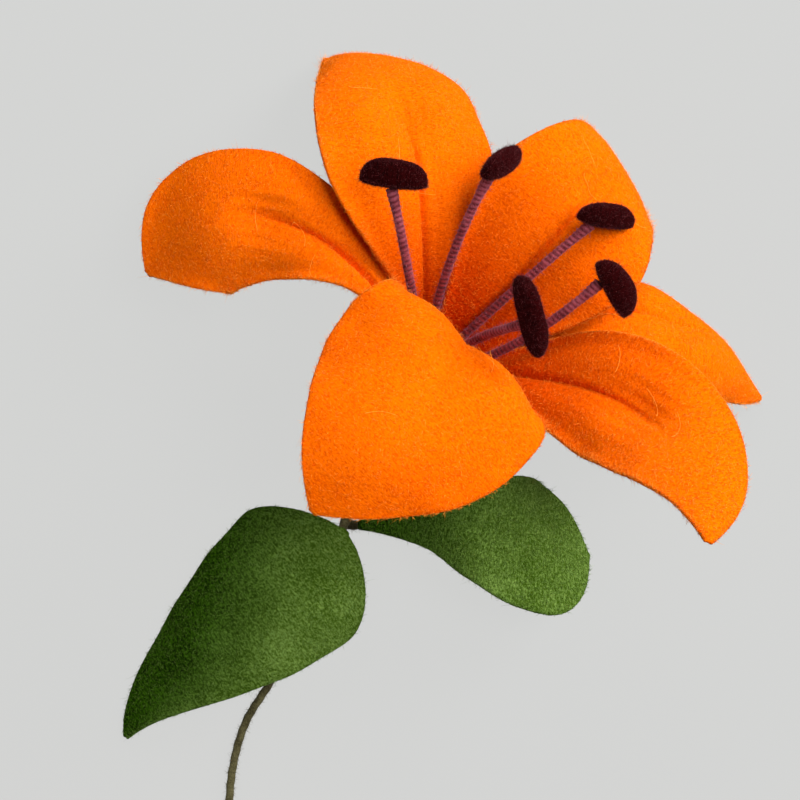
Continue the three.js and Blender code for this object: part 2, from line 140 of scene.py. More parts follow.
FILAMENT = Sizes(length=48, ring_radius=2.05, root_height=2)
STAMENS = {
    "left": Sizes(
        ring=140, azimuth=98, lean=38, bow=[0.4, -0.4, 4.6],
        along=[0.99, -0.13, 0.09], joined_at=-0.1, pad=(14.7, 6.3, 6.2),
    ),
    "top": Sizes(
        ring=68, azimuth=59, lean=21, bow=[-2.1, 0, 0.5],
        along=[0.56, 0.42, -0.72], joined_at=-4, pad=(14.2, 5, 5.2),
    ),
    "upper_right": Sizes(
        ring=-4, azimuth=342, lean=27, bow=[-0.4, 0.1, 2.5],
        along=[0.9, -0.05, -0.5], joined_at=-3.4, pad=(14.8, 5.5, 5.1),
    ),
    "right": Sizes(
        ring=-76, azimuth=288, lean=18, bow=[-0.6, -3.5, 2.4],
        along=[0.47, -0.74, -0.49], joined_at=-2.7, pad=(14.4, 7, 6.1),
    ),
    "front": Sizes(
        ring=-148, azimuth=206, lean=23, bow=[-1.3, 1.6, 0.4],
        along=[0.24, -0.97, -0.02], joined_at=1.4, pad=(17.1, 5.1, 5.5),
    ),
}

CUP_FOOT = -14
STEM_ROUTE = [
    [-10.0, -12.2, 4.2], [-13.3, -19.3, 1.6], [-16.6, -27.9, 1.1], [-19.3, -36.4, 1.0], [-25.0, -48.8, 1.0],
    [-30.8, -61.2, 1.0], [-36.7, -73.2, 1.0], [-43.0, -83.6, 1.0], [-46.2, -95.4, 1.0], [-46.9, -108.4, 1.0],
    [-46.1, -122, 1.0], [-44.5, -136, 1.0], [-42.8, -150, 1.0], [-41.5, -164, 1.0], [-40.6, -178, 1.0],
    [-40.0, -192, 1.0], [-39.8, -206, 1.0],
]

# The camera looks straight down. Its place over the frame, its lens and its sensor are in mm.
CAMERA_AT = (-10.33, 58.78, 451.3)
CAMERA_LENS, CAMERA_SENSOR = 85.0, 36

# --- arithmetic


def station(values, t):
    """Smooth value of a list of equally spaced stations at share t, by Catmull-Rom."""
    values = np.asarray(values, float)
    padded = np.concatenate([[2 * values[0] - values[1]], values, [2 * values[-1] - values[-2]]])
    last = len(values) - 1
    place = np.clip(t, 0, 1) * last
    i = np.minimum(np.floor(place).astype(int), last - 1)
    f = place - i
    if values.ndim > 1:
        f = f[..., None]
    before, here, there, after = (padded[i + k] for k in range(4))
    slope_in, slope_out, rise = (there - before) / 2, (after - here) / 2, there - here
    return here + f * (slope_in + f * (3 * rise - 2 * slope_in - slope_out + f * (slope_in + slope_out - 2 * rise)))


def ease(low, high, x):
    """0 below low, 1 above high, smooth between."""
    f = np.clip((x - low) / (high - low), 0, 1)
    return f * f * (3 - 2 * f)


def bell(x, half_width):
    """1 at 0, falling away on both sides."""
    return np.exp(-((x / half_width) ** 2))


def unit(vectors):
    vectors = np.asarray(vectors, float)
    return vectors / np.maximum(np.linalg.norm(vectors, axis=-1, keepdims=True), 1e-12)


def outward_at(azimuth):
    """Unit vector out from the bloom's axis at an azimuth in degrees."""
    return BLOOM_FAR * np.cos(np.radians(azimuth)) + BLOOM_LEFT * np.sin(np.radians(azimuth))


def ripple(t, phases, waves):
    """A slow wave that never quite repeats, from -1 to 1."""
    return sum(np.sin(2 * np.pi * (w * t + p)) for w, p in zip(waves, phases)) / len(waves)


# --- making meshes


def mesh_of(bm, name):
    """The mesh of a bmesh, which is done with."""
    mesh = bpy.data.meshes.new(name)
    bm.to_mesh(mesh)
    bm.free()
    return mesh


def grid_mesh(name, columns, rows):
    """A flat grid of columns x rows faces, and which column and row line each of its points is on."""
    bm = bmesh.new()
    bmesh.ops.create_grid(bm, x_segments=columns, y_segments=rows, size=0.5)
    mesh = mesh_of(bm, name)
    flat = read_points(mesh)
    i = np.rint((flat[:, 0] + 0.5) * columns).astype(int)
    j = np.rint((flat[:, 1] + 0.5) * rows).astype(int)
    return mesh, i, j


def read_points(mesh):
    points = np.zeros(len(mesh.vertices) * 3)
    mesh.vertices.foreach_get("co", points)
    return points.reshape(-1, 3)


def place_points(mesh, points):
    """Puts points given in mm from under the throat into the frame."""
    mesh.vertices.foreach_set("co", ((points + FOOTPRINT) * MM).ravel())
    mesh.update()


def lay_uv(mesh, across, along):
    """A UV map in cm from each point's place across and along the cloth in mm."""
    layer = mesh.uv_layers.new(name="UVMap")
    corners = np.zeros(len(mesh.loops), int)
    mesh.loops.foreach_get("vertex_index", corners)
    layer.data.foreach_set("uv", (np.stack([across, along], axis=1)[corners] / 10).ravel())


def set_values(mesh, name, values):
    """Gives each point its value of an attribute that the finishes read."""
    mesh.attributes.new(name, "FLOAT", "POINT").data.foreach_set("value", values)


def closed(mesh, points):
    """Puts the points of a mesh in place, joins its seams and turns its faces outwards."""
    place_points(mesh, points)
    bm = bmesh.new()
    bm.from_mesh(mesh)
    bmesh.ops.remove_doubles(bm, verts=bm.verts[:], dist=1e-7)
    bmesh.ops.dissolve_degenerate(bm, edges=bm.edges[:], dist=1e-8)
    bmesh.ops.recalc_face_normals(bm, faces=bm.faces[:])
    bm.to_mesh(mesh)
    bm.free()
    mesh.shade_smooth()
    return mesh


def add_piece(mesh, material, slot, *nodes):
    """Puts a finished mesh into the scene by its own name, on the root body, in place of the nodes it stands for."""
    mesh.materials.append(material)
    piece = bpy.data.objects.new(mesh.name, mesh)
    bpy.context.scene.collection.objects.link(piece)
    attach(piece, "root")
    if nodes:
        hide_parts(*nodes)


# --- fibres

# The kinds of fibre: the range of their angle over the surface in degrees, whether they bend, and their tones.
FIBRES = {
    "lying": ((2, 42), False, (0.0, 0.9)),
    "edge": ((15, 88), True, (0.4, 1.0)),
    "wisp": ((20, 80), True, (0.7, 1.0)),
    "fluff": ((8, 60), True, (0.0, 1.0)),
    "pile": ((25, 85), False, (0.0, 0.4)),
    "loose pile": ((15, 75), True, (0.4, 1.0)),
}
# The ranges of a fibre's length and width, as shares of its kind's, and of how far it bends.
LENGTHS, WIDTHS, CURLS = (0.5, 1.35), (0.7, 1.3), (0.1, 0.6)
# How deep its root is and how low its points may go, in mm, and how much darker it is in painted shade.
ROOT_DEPTH, LOWEST, PAINTED_SHADE_DARKENS = 0.05, 0.05, 0.6
SPIKE_RADIUS, SPIKE_TAPER = 0.25, 0.4


def spike_row(name, count, bent):
    """count three-sided spikes side by side, one unit apart along x and one unit high."""
    bm = bmesh.new()
    bmesh.ops.create_cone(bm, cap_ends=True, segments=3, radius1=SPIKE_RADIUS, radius2=0, depth=1)
    if bent:
        everything = bm.verts[:] + bm.edges[:] + bm.faces[:]
        bmesh.ops.bisect_plane(bm, geom=everything, plane_co=(0, 0, 0), plane_no=(0, 0, 1))
    made = 1
    while made < count:
        got = bmesh.ops.duplicate(bm, geom=bm.verts[:] + bm.edges[:] + bm.faces[:])
        copies = [item for item in got["geom"] if isinstance(item, bmesh.types.BMVert)]
        bmesh.ops.translate(bm, verts=copies, vec=(made, 0, 0))
        made *= 2
    spare = [v for v in bm.verts if v.co.x > count - 0.5]
    bmesh.ops.delete(bm, geom=spare, context="VERTS")
    return mesh_of(bm, name)


def fibre_mesh(name, bent, roots, directions, lengths, widths, curls, shades):
    """One mesh of fibres. A fibre leaves its root along its direction and bends by its curl, all in mm."""
    mesh = spike_row(name, len(roots), bent)
    flat = read_points(mesh)
    n = np.rint(flat[:, 0]).astype(int)
    up = flat[:, 2] + 0.5
    directions = unit(directions)
    sideways = unit(np.cross(directions, curls + 1e-6 * UP + 1e-7))
    facing = np.cross(directions, sideways)
    wide = (1 - SPIKE_TAPER * up) / np.maximum(1 - up, 1e-3) / SPIKE_RADIUS
    slim = np.where(up > 0.99, 0, wide) * widths[n] / 2
    across = sideways[n] * ((flat[:, 0] - n) * slim)[:, None] + facing[n] * (flat[:, 1] * slim)[:, None]
    reach = directions[n] * up[:, None] + curls[n] * (up**2)[:, None]
    points = roots[n] + reach * lengths[n][:, None] + across
    points[:, 2] = np.maximum(points[:, 2], LOWEST)
    place_points(mesh, points)
    set_values(mesh, "shade", shades[n])
    mesh.shade_smooth()
    return mesh


def joined(name, *meshes):
    """One mesh of several fibre meshes."""
    bm = bmesh.new()
    for mesh in meshes:
        bm.from_mesh(mesh)
        bpy.data.meshes.remove(mesh)
    whole = mesh_of(bm, name)
    whole.shade_smooth()
    return whole


def sprout(name, rng, kind, roots, outs, alongs, length, width, painted_shade=0.0):
    """Fibres of one kind on a surface."""
    rise, bent, shade = FIBRES[kind]
    count = len(roots)
    turn = rng.uniform(0, 2 * np.pi, count)[:, None]
    across = np.cross(outs, alongs)
    lying = alongs * np.cos(turn) + across * np.sin(turn)
    angle = np.radians(rng.uniform(*rise, count))[:, None]
    directions = lying * np.cos(angle) + outs * np.sin(angle)
    lengths = length * rng.uniform(*LENGTHS, count)
    curls = unit(rng.normal(size=(count, 3))) * (rng.uniform(*CURLS, count) if bent else np.zeros(count))[:, None]
    widths = width * rng.uniform(*WIDTHS, count)
    # Fibres are darker where the felt they grow on has painted shade.
    shades = rng.uniform(*shade, count) * (1 - PAINTED_SHADE_DARKENS * painted_shade)
    return fibre_mesh(name, bent, roots - outs * ROOT_DEPTH, directions, lengths, widths, curls, shades)


# --- blades of felt


class Blade:
    """A cut piece of felt bent into shape. Heights are measured along its normal from the middle of the felt.

    A kind of blade has its own relief, which is how far the felt swells and how far its inner face and its back
    stand out x mm from the midline, and its own share of painted shade, from 0 to 1.
    """

    SPINE_STEPS = 192
    # How far aside the back's UV map lies, in mm, so that it is matted in its own way.
    BACK_ASIDE = 60
    # The share of lying fibres that are on the inner face, where the others are round the edge, in half turns, and
    # how much they crowd to the tip. One edge fibre in so many has a wisp with it, longer and thinner.
    INNER_SHARE, ROUND_EDGE, CROWDING = 0.6, (0.15, 0.85), 1.1
    WISPS = Sizes(one_in=8, length=2, width=0.55)
    STRAYS = 0

    def __init__(self, cut, start, axis, outward, thickness, seed):
        self.cut = cut
        self.axis = axis
        self.outward = outward
        self.across = np.cross(axis, outward)
        self.thickness = thickness
        steps = self.SPINE_STEPS
        middles = (np.arange(steps) + 0.5) / steps
        moves = self.bends(middles)[0] * (cut.length / steps)
        self.spine = np.asarray(start, float) + np.vstack([np.zeros(3), np.cumsum(moves, axis=0)])
        self.rng = np.random.default_rng(seed)
        self.phases = self.rng.uniform(0, 1, 6)

    def bends(self, t):
        """Tangent, normal and side of the midline at t."""
        lists = self.cut.lean, self.cut.swing, self.cut.roll
        lean, swing, roll = (np.radians(station(bends, t))[..., None] for bends in lists)
        along = self.axis * np.cos(lean) + self.outward * np.sin(lean)
        facing = self.axis * np.sin(lean) - self.outward * np.cos(lean)
        sideways = self.across * np.cos(swing) - along * np.sin(swing)
        tangent = along * np.cos(swing) + self.across * np.sin(swing)
        normal = facing * np.cos(roll) + sideways * np.sin(roll)
        return tangent, normal, sideways * np.cos(roll) - facing * np.sin(roll)

    def half_width(self, t):
        cut = self.cut
        swell = np.sin(np.pi / 2 * np.clip(t / cut.widest, 0, 1)) ** cut.taper
        below = cut.root + (cut.half - cut.root) * swell
        to_tip = np.clip((t - cut.widest) / (1 - cut.widest), 0, 1) ** cut.tip_power
        above = cut.tip + (cut.half - cut.tip) * (1 - to_tip)
        return np.where(t < cut.widest, below, above)

    def surface(self, t, x, height):
        """The place at height, from -1 on the back of the felt to 1 on its inner face, and the ways out and along."""
        tangent, normal, side = self.bends(t)
        w = self.half_width(t)
        edge = np.radians(station(self.cut.edge, t))
        edge = np.where(np.abs(edge) < 1e-6, 1e-6, edge)
        turn = edge * x / w
        stations = np.linspace(0, 1, self.SPINE_STEPS + 1)
        place = np.stack([np.interp(t, stations, self.spine[:, k]) for k in range(3)], axis=-1)
        aside, raised = w * np.sin(turn) / edge, w * (1 - np.cos(turn)) / edge
        out = normal * np.cos(turn)[:, None] - side * np.sin(turn)[:, None]
        swell, inside, behind = self.relief(t, x, w)
        stands = swell + self.thickness / 2 * height + np.where(height > 0, inside, behind) * height
        return place + side * aside[:, None] + normal * raised[:, None] + out * stands[:, None], out, tangent

    def mesh(self, name):
        """The felt as a closed mesh with rounded edges, and a UV map in cm along and across the cut."""
        rows = self.ROWS
        q = np.linspace(-1, 1, 2 * self.HALF_COLUMNS + 1)
        shares = np.sign(q) * np.abs(q) ** self.CROWD
        rim = np.radians([45, 90, 135])
        ring_share = np.concatenate([shares, [1, 1, 1], shares[::-1], [-1, -1, -1], [-1]])
        ring_height = np.concatenate([np.ones_like(q), np.cos(rim), -np.ones_like(q), -np.cos(rim), [1]])
        ring_beyond = np.concatenate([0 * q, np.sin(rim), 0 * q, -np.sin(rim), [0]])
        cap = np.radians([0, 45])
        row_t = np.concatenate([[0, 0], np.linspace(0, 1, rows + 1), [1, 1]])
        row_thick = np.concatenate([np.sin(cap), np.ones(rows + 1), np.sin(cap)[::-1]])
        row_beyond = np.concatenate([-np.cos(cap), np.zeros(rows + 1), np.cos(cap)[::-1]])
        mesh, i, j = grid_mesh(name, len(ring_share) - 1, len(row_t) - 1)
        r = self.thickness / 2
        t = row_t[j]
        x = ring_share[i] * self.half_width(t) + ring_beyond[i] * r * row_thick[j]
        points, _, tangent = self.surface(t, x, ring_height[i] * row_thick[j])
        points += tangent * (row_beyond[j] * r)[:, None]
        lay_uv(mesh, x + self.BACK_ASIDE * (ring_height[i] < 0), t * self.cut.length)
        # How far each point is in painted shade, which its finish darkens it by.
        set_values(mesh, "painted_shade", self.painted_shade_share(t, x))
        return closed(mesh, points)

    def wave(self, t, x, half_width):
        """The slow rise and fall of a loose edge."""
        wave = self.WAVE
        edge = ease(*wave.across, np.abs(x) / half_width)
        return wave.height * ripple(t, self.phases[:3], wave.waves) * edge * ease(*wave.along, t)

    def scatter(self, count):
        """Random places over the cut, as t and x."""
        t = self.rng.uniform(0, 1, 4 * count)
        kept = self.rng.uniform(0, 1, len(t)) < self.half_width(t) / self.cut.half
        t = t[kept][:count]
        return t, self.rng.uniform(-1, 1, len(t)) * self.half_width(t)

    def nap(self, name, lying, standing, length, width):
        """The fibres: some lie on both faces and some stand out all round the edge."""
        t, x = self.scatter(lying)
        face = np.where(self.rng.uniform(size=len(t)) < self.INNER_SHARE, 1.0, -1.0)
        roots, out, along = self.surface(t, x, face)
        outs = out * face[:, None]
        flat = sprout(name, self.rng, "lying", roots, outs, along, length, width, self.painted_shade_share(t, x))
        t = 1 - self.rng.uniform(0, 1, standing) ** self.CROWDING
        side = np.where(self.rng.uniform(size=standing) < 0.5, 1.0, -1.0)
        w = self.half_width(t)
        turn = self.rng.uniform(*self.ROUND_EDGE, standing) * np.pi
        x = side * (w + np.sin(turn) * self.thickness / 2)
        roots, out, along = self.surface(t, x, np.cos(turn))
        across = np.cross(out, along) * -side[:, None]
        outs = unit(across * np.sin(turn)[:, None] + out * np.cos(turn)[:, None])
        places = (roots, outs, along)
        # The edge fibres and wisps take the painted shade of the felt they stand on.
        painted_shade = self.painted_shade_share(t, x)
        edge = sprout(name, self.rng, "edge", *places, length, width, painted_shade)
        few = standing // self.WISPS.one_in
        places = (part[:few] for part in places)
        reach, thin = length * self.WISPS.length, width * self.WISPS.width
        wisps = sprout(name, self.rng, "wisp", *places, reach, thin, painted_shade[:few])
        return joined(name, flat, edge, wisps, *(self.stray(name) for _ in range(self.STRAYS)))

    def stray(self, name):
        """A long loose fibre that lies on the inner face in a curve, its ends off the felt."""
        step = np.linspace(-1, 1, Stray.POINTS)
        heading = self.rng.uniform(0, 2 * np.pi) + self.rng.uniform(*Stray.BENDS) * step
        ahead, aside = (np.cumsum(part) * Stray.STEP for part in (np.cos(heading), np.sin(heading)))
        t = self.rng.uniform(*Stray.ALONG) + ahead / self.cut.length
        x = self.rng.uniform(*Stray.ACROSS) * self.cut.half + aside
        roots, out, _ = self.surface(t, x, np.ones_like(t))
        return Stray(roots + out * (Stray.LIES + Stray.LIFTS * np.abs(step) ** 3)[:, None], 0).mesh(name)


class Petal(Blade):
    """A petal has a pin tuck down its middle that ends in a dimple, and swells on both sides of it."""

    # In mm, but for the shares of the wave. The seam pulls at each stitch, which puckers the felt beside it.
    STITCH = 3.2
    GROOVE = Sizes(depth=0.85, half=0.5, pull=0.35)
    SHOULDER = Sizes(height=0.3, at=1.5, half=0.9)
    RIDGE = Sizes(height=1.6, half=1.15)
    PUCKER = Sizes(height=0.14, half=3.2, lag=0.6)
    GATHER = Sizes(height=0.22, long=6, half=9, per_mm=2.1)
    WAVE = Sizes(height=0.5, waves=(2.3, 4.1, 6.7), across=(0.6, 1.0), along=(0.3, 0.5))
    # The painted throat shade begins to fade at this share of a petal's length.
    THROAT_SHADE_STARTS = 0.04
    ROWS, HALF_COLUMNS, CROWD = 104, 26, 1.5
    STRAYS = 3

    # Painted shade deep in the throat, fading out along the petal.
    def painted_shade_share(self, t, x):
        return 1 - ease(self.THROAT_SHADE_STARTS, self.cut.flush, t)

    def relief(self, t, x, half_width):
        groove, shoulder, ridge, pucker, gather = self.GROOVE, self.SHOULDER, self.RIDGE, self.PUCKER, self.GATHER
        ends = self.cut.tuck_ends
        opens = ease(TUCK.starts, TUCK.starts + TUCK.fades, t)
        sewn = opens * (1 - ease(ends - TUCK.fades, ends + TUCK.fades, t))
        swelling = ease(*PLUMP.rises, t) * (1 - ease(*PLUMP.dies, t))
        over = np.minimum(1, np.abs(x) / (PLUMP.over * half_width))
        from_dimple = (t - ends - TUCK.beyond) * self.cut.length
        stitches = 2 * np.pi * t * self.cut.length / self.STITCH
        swell = PLUMP.height * swelling * np.sin(np.pi * over)
        swell -= TUCK.dimple * bell(from_dimple, TUCK.dimple_long) * bell(x, TUCK.dimple_wide)
        swell += pucker.height * sewn * bell(x, pucker.half) * np.cos(stitches + np.sign(x) * pucker.lag)
        folds = np.cos(x * gather.per_mm + self.phases[0] * 6)
        swell += gather.height * bell(from_dimple, gather.long) * bell(x, gather.half) * folds
        swell += self.wave(t, x, half_width)
        inside = shoulder.height * sewn * bell(np.abs(x) - shoulder.at, shoulder.half)
        inside -= groove.depth * sewn * bell(x, groove.half) * (1 + groove.pull * np.cos(stitches))
        return swell, inside, ridge.height * sewn * np.exp(-((x / ridge.half) ** 4))


class Leaf(Blade):
    """A leaf is plain felt, pressed in a little along its midline."""

    CREASE = Sizes(depth=0.35, half=1.6, starts=(0.02, 0.15), fades=(0.55, 0.95))
    WAVE = Sizes(height=0.4, waves=(1.7, 3.9, 5.3), across=(0.6, 1.0), along=(0.1, 0.3))
    ROWS, HALF_COLUMNS, CROWD = 84, 18, 1.0

    # Painted light and shade: how far each point is out of the light, as its cut's pale says.
    def painted_shade_share(self, t, x):
        at_root, along, across = self.cut.pale
        return 1 - ease(0, 1, at_root + along * t + across * x / self.half_width(t))

    def relief(self, t, x, half_width):
        crease = self.CREASE
        pressed = ease(*crease.starts, t) * (1 - ease(*crease.fades, t))
        zero = np.zeros_like(x)
        return self.wave(t, x, half_width) - crease.depth * bell(x, crease.half) * pressed, zero, zero


# --- yarn


class Yarn:
    """Wool wound on a wire along a path of points in mm.

    A kind of yarn has its own radius, the height and pitch of the ridges it is wound in, the spacing and number of
    its mesh's points, and how many loose fibres it has. A bore leaves room for the wire, whose cut end shows.
    """

    # A bore has one row for so many of the skin, and the wool's edge stands out at the cut. A closed end is drawn in
    # to a share of the radius and rounded.
    BORE, BORE_ROWS, CUT_EDGE = 0.0, 6, 1.05
    TIP_SHARE, TIP_ROUND, TIP_AHEAD = 0.7, 0.22, 0.05
    # The painted throat shade on a yarn fades between these shares of its length; only the filaments' finish reads it.
    ROOT_SHADE_SPAN = (0.3, 1.15)
    FLUFF_WIDTH = 0.05

    def __init__(self, path, seed):
        self.path = path
        steps = np.diff(path, axis=0)
        self.at = np.concatenate([[0], np.cumsum(np.linalg.norm(steps, axis=1))])
        self.length = self.at[-1]
        tangents = unit(np.gradient(path, axis=0))
        sides = [unit(np.cross(tangents[0], UP + 0.1))]
        for tangent in tangents[1:]:
            sides.append(unit(sides[-1] - tangent * sides[-1].dot(tangent)))
        self.tangents, self.sides = tangents, np.array(sides)
        self.rng = np.random.default_rng(seed)

    def surface(self, s, angle, radius):
        """The place on the wool at s mm along, and the ways out and along."""
        place, tangent, side = (
            np.stack([np.interp(s, self.at, table[:, k]) for k in range(3)], axis=-1)
            for table in (self.path, self.tangents, self.sides)
        )
        tangent = unit(tangent)
        side = unit(side - tangent * np.sum(side * tangent, axis=-1, keepdims=True))
        out = side * np.cos(angle)[:, None] + np.cross(tangent, side) * np.sin(angle)[:, None]
        return place + out * radius[:, None], out, tangent

    def swell(self, s):
        """How many times thicker the wool is at s."""
        return 1.0

    def radius_at(self, s, angle):
        """The wool's radius, which varies slowly along it and rises at each turn of its winding."""
        slow = 0.4 * np.sin(s * 0.9) + 0.3 * np.sin(s * 0.37 + 1)
        ridge = self.RIDGE * np.cos(angle - 2 * np.pi * s / self.PITCH)
        return (self.RADIUS * (1 + 0.03 * slow) - self.RIDGE + ridge) * self.swell(s)

    def mesh(self, name):
        """The wool as a closed mesh.

        share is -1 for the wound skin. Elsewhere it is a share of the skin's radius, or the radius in mm of the cut
        end and the bore.
        """
        s = np.linspace(0, self.length, int(self.length / self.SPACING) + 1)
        skin, ends = np.full(len(s), -1.0), [self.length, self.length]
        if self.BORE:
            back = s[:: -self.BORE_ROWS]
            row_s = np.concatenate([s, ends, back, [0, 0]])
            row_r = np.concatenate([skin, [self.CUT_EDGE, self.BORE], np.full(len(back) + 1, self.BORE), [-1]])
        else:
            row_s = np.concatenate([[0, 0], s, ends])
            row_r = np.concatenate([[0, self.TIP_SHARE], skin, [self.TIP_SHARE, 0]])
        mesh, i, j = grid_mesh(name, self.AROUND, len(row_s) - 1)
        at, angle, share = row_s[j], 2 * np.pi * i / self.AROUND, row_r[j]
        full = self.radius_at(at, angle)
        radius = np.where(share < 0, full, share if self.BORE else full * share)
        points, _, tangent = self.surface(at, angle, radius)
        if not self.BORE:
            ahead = np.where(share < 0, 0.0, self.TIP_ROUND * (1 - share**2) + self.TIP_AHEAD)
            points += tangent * (ahead * np.where(at > 0, 1, -1))[:, None]
        self.lay_values(mesh, at, angle, radius.max())
        return closed(mesh, points)

    def lay_values(self, mesh, at, angle, radius):
        """What a yarn's finish reads: a UV map in cm, its strands, and its painted throat shade along it."""
        lay_uv(mesh, angle * radius, at)
        set_values(mesh, "ply", 0.5 + 0.5 * np.cos(angle - 2 * np.pi * at / self.PITCH))
        set_values(mesh, "painted_shade", 1 - ease(*self.ROOT_SHADE_SPAN, at / self.length))

    def nap(self, name, length):
        s = self.rng.uniform(0, self.length, self.LOOSE)
        angle = self.rng.uniform(0, 2 * np.pi, self.LOOSE)
        roots, out, along = self.surface(s, angle, self.radius_at(s, angle))
        return sprout(name, self.rng, "fluff", roots, out, along, length, self.FLUFF_WIDTH)


class Stem(Yarn):
    """The stem, whose wire shows at its cut end."""

    RADIUS, RIDGE, PITCH, BORE = 1.0, 0.06, 3.4, 0.46
    SPACING, AROUND, LOOSE = 0.6, 20, 4200


class Stalk(Yarn):
    """A leaf's stalk, which is thicker where it leaves the stem."""

    RADIUS, RIDGE, PITCH = 0.8, 0.05, 2.4
    SPACING, AROUND, LOOSE = 0.5, 14, 420
    FLUFF_LENGTH = 1.1

    def swell(self, s):
        return 1 + 0.55 * bell(s - 1, 4)


class Filament(Yarn):
    """A filament, which is thicker towards its anther."""

    RADIUS, RIDGE, PITCH = 1.02, 0.06, 1.15
    SPACING, AROUND, LOOSE = 0.14, 14, 950

    def swell(self, s):
        return 1 + 0.35 * ease(self.length - 6, self.length, s)


class Stray(Yarn):
    """One long fibre. The ranges say where on a blade it lies, and how it bends."""

    RADIUS, SPACING, AROUND = 0.04, 0.4, 4
    POINTS, STEP, BENDS, ALONG, ACROSS = 30, 0.22, (-0.7, 0.7), (0.35, 0.75), (-0.4, 0.4)
    LIES, LIFTS = 0.08, 0.9

    def radius_at(self, s, angle):
        return np.full(len(s), self.RADIUS)

    def lay_values(self, mesh, at, angle, radius):
        set_values(mesh, "shade", np.ones(len(at)))


def even_path(points, spacing):
    """The points of a smooth curve through the given ones, evenly spaced."""
    dense = station(points, np.linspace(0, 1, 3000))
    at = np.concatenate([[0], np.cumsum(np.linalg.norm(np.diff(dense, axis=0), axis=1))])
    want = np.linspace(0, at[-1], int(at[-1] / spacing) + 1)
    return np.stack([np.interp(want, at, dense[:, k]) for k in range(3)], axis=-1)


# --- anthers, the cup and the core


class Anther:
    """A felt pad: a dome over a nearly flat underside, blunt at both ends, with a velvet pile."""

    BLUNT, UNDERSIDE, LUMPS = 0.88, 0.22, 0.03
    AROUND, RINGS = 40, 24
    # Each kind of fibre's count, its length as a share of the pile's and its width in mm.
    PILE = {"pile": (2200, 1, 0.07), "loose pile": (260, 2.2, 0.04)}

    def __init__(self, size, seat, basis, seed):
        self.size = size
        self.seat = seat
        self.basis = basis
        self.seed = seed
        self.rng = np.random.default_rng(seed)

    def skin(self, ball):
        """The places on the pad of points on a ball."""
        length, width, height = self.size
        blunt = np.sign(ball) * np.abs(ball) ** self.BLUNT
        lump = 1 + self.LUMPS * np.sin(ball[:, 0] * 5 + self.seed) * np.cos(ball[:, 1] * 4)
        reach = np.tile([length / 2, width / 2, self.UNDERSIDE * height], (len(ball), 1))
        reach[ball[:, 2] > 0, 2] = (1 - self.UNDERSIDE) * height
        local = blunt * lump[:, None] * reach
        local[:, 2] += self.UNDERSIDE * height
        return self.seat + local @ self.basis

    def mesh(self, name):
        bm = bmesh.new()
        bmesh.ops.create_uvsphere(bm, u_segments=self.AROUND, v_segments=self.RINGS, radius=1)
        mesh = mesh_of(bm, name)
        ball = read_points(mesh)[:, [2, 0, 1]]
        lay_uv(mesh, ball[:, 1] * self.size[1] / 2, ball[:, 0] * self.size[0] / 2)
        return closed(mesh, self.skin(ball))

    def nap(self, name, length):
        tufts = []
        for kind, (count, share, width) in self.PILE.items():
            spots = unit(self.rng.normal(size=(count, 3)))
            outs = unit(unit(spots / self.size) @ self.basis)
            alongs = unit(np.cross(outs, self.basis[1] + 0.01))
            tufts.append(sprout(name, self.rng, kind, self.skin(spots), outs, alongs, length * share, width))
        return joined(name, *tufts)


def turned(name, profile):
    """A wool piece turned on the bloom's axis, puckered where it is wide."""
    sides, rows, pucker, wide = 56, 4, 0.12, 4
    profile = np.array(profile, float)
    last = len(profile) - 1
    mesh, i, j = grid_mesh(name, sides, rows * last)
    corner = np.minimum(j // rows, last - 1)
    f = (j / rows - corner)[:, None]
    spot = profile[corner] * (1 - f) + profile[corner + 1] * f
    angle = 2 * np.pi * i / sides
    wave = pucker * np.sin(9 * angle + 3 * spot[:, 1]) * (spot[:, 0] > wide)
    out = BLOOM_FAR * np.cos(angle)[:, None] + BLOOM_LEFT * np.sin(angle)[:, None]
    lay_uv(mesh, angle * 6, spot[:, 1] + spot[:, 0])
    return closed(mesh, THROAT + out * (spot[:, 0] + wave)[:, None] + BLOOM_AXIS * spot[:, 1:])


# --- finishes


def math_method(operation, reflected=False):
    """A method of Value for one operation, or for its reflected form."""

    def method(self, other):
        return self.finish.math(operation, *((other, self) if reflected else (self, other)))

    return method


class Value:
    """A node's output that arithmetic works on: each expression adds its Math nodes."""

    __add__, __radd__ = math_method("ADD"), math_method("ADD", True)
    __sub__, __rsub__ = math_method("SUBTRACT"), math_method("SUBTRACT", True)
    __mul__, __rmul__ = math_method("MULTIPLY"), math_method("MULTIPLY", True)

    def __init__(self, finish, socket):
        self.finish = finish
        self.socket = socket


